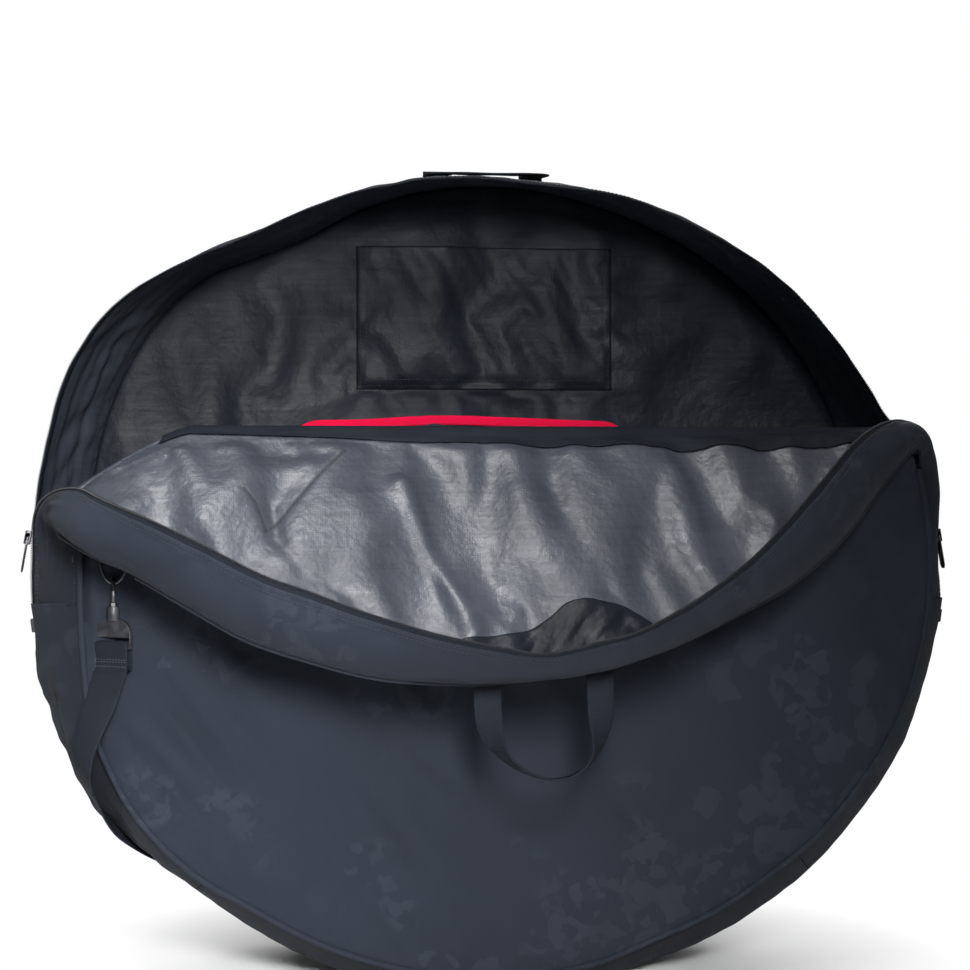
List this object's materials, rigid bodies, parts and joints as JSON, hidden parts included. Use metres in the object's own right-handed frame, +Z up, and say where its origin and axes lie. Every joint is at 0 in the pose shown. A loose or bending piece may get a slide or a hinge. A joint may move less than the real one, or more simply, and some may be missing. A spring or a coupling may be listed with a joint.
{
  "type": "bike wheel bag",
  "caption": "Round padded wheel bag standing on its gusset, front flap unzipped and folded down, with divider, carry handles and clip-on shoulder strap.",
  "frame": {"origin": "on the ground under the middle of the bag, on the flat underside of its gusset", "axes": "+Z up, +Y from the front panel to the back panel, +X to the right seen from the front"},
  "size_m": [0.9006, 0.4773, 0.8117],
  "materials": {
    "shell": "matte coated woven cloth with a faint tonal mottle",
    "lining": "shiny coated lining cloth",
    "padding": "closed-cell foam padding",
    "webbing": "woven webbing",
    "zip_tape": "woven tape",
    "binding": "crimson grosgrain binding tape",
    "hardware": "moulded black plastic",
    "metal": "dark plated metal"
  },
  "bodies": {
    "bag_body": {"back_outer": "shell", "back_foam": "padding", "back_lining": "lining", "back_piping": "shell", "back_pocket": "lining", "front_outer": "shell", "front_foam": "padding", "front_lining": "lining", "front_piping": "shell", "fold_tape": "zip_tape", "gusset_side_left": "shell", "gusset_base": "shell", "gusset_side_right": "shell", "gusset_back_strip_left": "shell", "gusset_back_strip_right": "shell", "gusset_front_strip_left": "shell", "gusset_front_strip_right": "shell", "zip_tape_back": "zip_tape", "zip_teeth_back": "hardware", "zip_tape_front_left": "zip_tape", "zip_tape_front_right": "zip_tape", "zip_teeth_front_left": "hardware", "zip_teeth_front_right": "hardware", "zip_stop_left": "zip_tape", "zip_stop_right": "zip_tape", "handle_patch_back_left": "webbing", "handle_patch_back_right": "webbing", "divider_hem": "webbing", "ring_tab_left": "webbing", "ring_tab_right": "webbing", "strap_yoke_left": "hardware", "strap_yoke_right": "hardware", "shoulder_strap": "webbing"},
    "flap": {"flap_outer": "shell", "flap_foam": "padding", "flap_lining": "lining", "flap_piping": "shell", "flap_strip": "shell", "zip_tape_flap": "zip_tape", "zip_teeth_flap": "hardware", "handle_patch_front_left": "webbing", "handle_patch_front_right": "webbing"},
    "divider": {"divider": "shell", "divider_binding": "binding"},
    "zip_slider_left": {"zip_slider_left": "metal"},
    "zip_slider_right": {"zip_slider_right": "metal"},
    "zip_pull_left": {"zip_pull_left": "metal"},
    "zip_pull_right": {"zip_pull_right": "metal"},
    "strap_ring_left": {"strap_ring_left": "metal"},
    "strap_ring_right": {"strap_ring_right": "metal"},
    "snap_hook_left": {"snap_hook_left": "metal"},
    "snap_hook_right": {"snap_hook_right": "metal"},
    "hook_gate_left": {"hook_gate_left": "metal"},
    "hook_gate_right": {"hook_gate_right": "metal"},
    "strap_adjuster": {"strap_adjuster": "hardware"},
    "handle_front": {"handle_front": "webbing"},
    "handle_back": {"handle_back": "webbing"}
  },
  "joints": [
    {"name": "flap_fold", "type": "hinge", "parent": "bag_body", "child": "flap", "pos_m": [0, -0.1256, 0.53], "axis": [-1, 0, 0], "range_deg": [0, 146]},
    {"name": "divider_swing", "type": "hinge", "parent": "bag_body", "child": "divider", "pos_m": [0, 0, 0.04], "axis": [1, 0, 0], "range_deg": [-10, 10]},
    {"name": "zip_slide_left", "type": "hinge", "parent": "bag_body", "child": "zip_slider_left", "pos_m": [-0.0145, -0.0647, 0.35], "axis": [0, 1, 0], "range_deg": [-4, 75]},
    {"name": "zip_slide_right", "type": "hinge", "parent": "bag_body", "child": "zip_slider_right", "pos_m": [-0.0145, -0.0647, 0.35], "axis": [0, -1, 0], "range_deg": [-4, 75]},
    {"name": "zip_pull_flip_left", "type": "hinge", "parent": "zip_slider_left", "child": "zip_pull_left", "pos_m": [-0.45836, -0.0647, 0.42676], "axis": [0, 1, 0], "range_deg": [0, 160]},
    {"name": "zip_pull_flip_right", "type": "hinge", "parent": "zip_slider_right", "child": "zip_pull_right", "pos_m": [0.42936, -0.0647, 0.42676], "axis": [0, -1, 0], "range_deg": [0, 160]},
    {"name": "ring_swing_left", "type": "hinge", "parent": "bag_body", "child": "strap_ring_left", "pos_m": [-0.379, -0.1311, 0.41], "axis": [-1, 0, 0], "range_deg": [0, 10]},
    {"name": "ring_swing_right", "type": "hinge", "parent": "bag_body", "child": "strap_ring_right", "pos_m": [0.379, 0.1311, 0.41], "axis": [1, 0, 0], "range_deg": [0, 10]},
    {"name": "hook_swivel_left", "type": "hinge", "parent": "bag_body", "child": "snap_hook_left", "pos_m": [-0.379, -0.13365, 0.36], "axis": [0, 0, 1], "range_deg": [-15, 15]},
    {"name": "hook_swivel_right", "type": "hinge", "parent": "bag_body", "child": "snap_hook_right", "pos_m": [0.379, 0.13365, 0.36], "axis": [0, 0, 1], "range_deg": [-15, 15]},
    {"name": "gate_spring_left", "type": "hinge", "parent": "snap_hook_left", "child": "hook_gate_left", "pos_m": [-0.379, -0.1402, 0.36898], "axis": [-1, 0, 0], "range_deg": [0, 22], "stiffness_Nm_per_rad": 0.02, "springref_deg": -11.46},
    {"name": "gate_spring_right", "type": "hinge", "parent": "snap_hook_right", "child": "hook_gate_right", "pos_m": [0.379, 0.1402, 0.36898], "axis": [1, 0, 0], "range_deg": [0, 22], "stiffness_Nm_per_rad": 0.02, "springref_deg": -11.46},
    {"name": "adjuster_slide", "type": "slide", "parent": "bag_body", "child": "strap_adjuster", "axis": [0, 0, -1], "range_m": [-0.006, 0.034]},
    {"name": "handle_front_swing", "type": "hinge", "parent": "flap", "child": "handle_front", "pos_m": [0, -0.25893, 0.32562], "axis": [1, 0, 0], "range_deg": [-34, 140]},
    {"name": "handle_back_swing", "type": "hinge", "parent": "bag_body", "child": "handle_back", "pos_m": [0, 0.12935, 0.8105], "axis": [-1, 0, 0], "range_deg": [0, 270]}
  ]
}
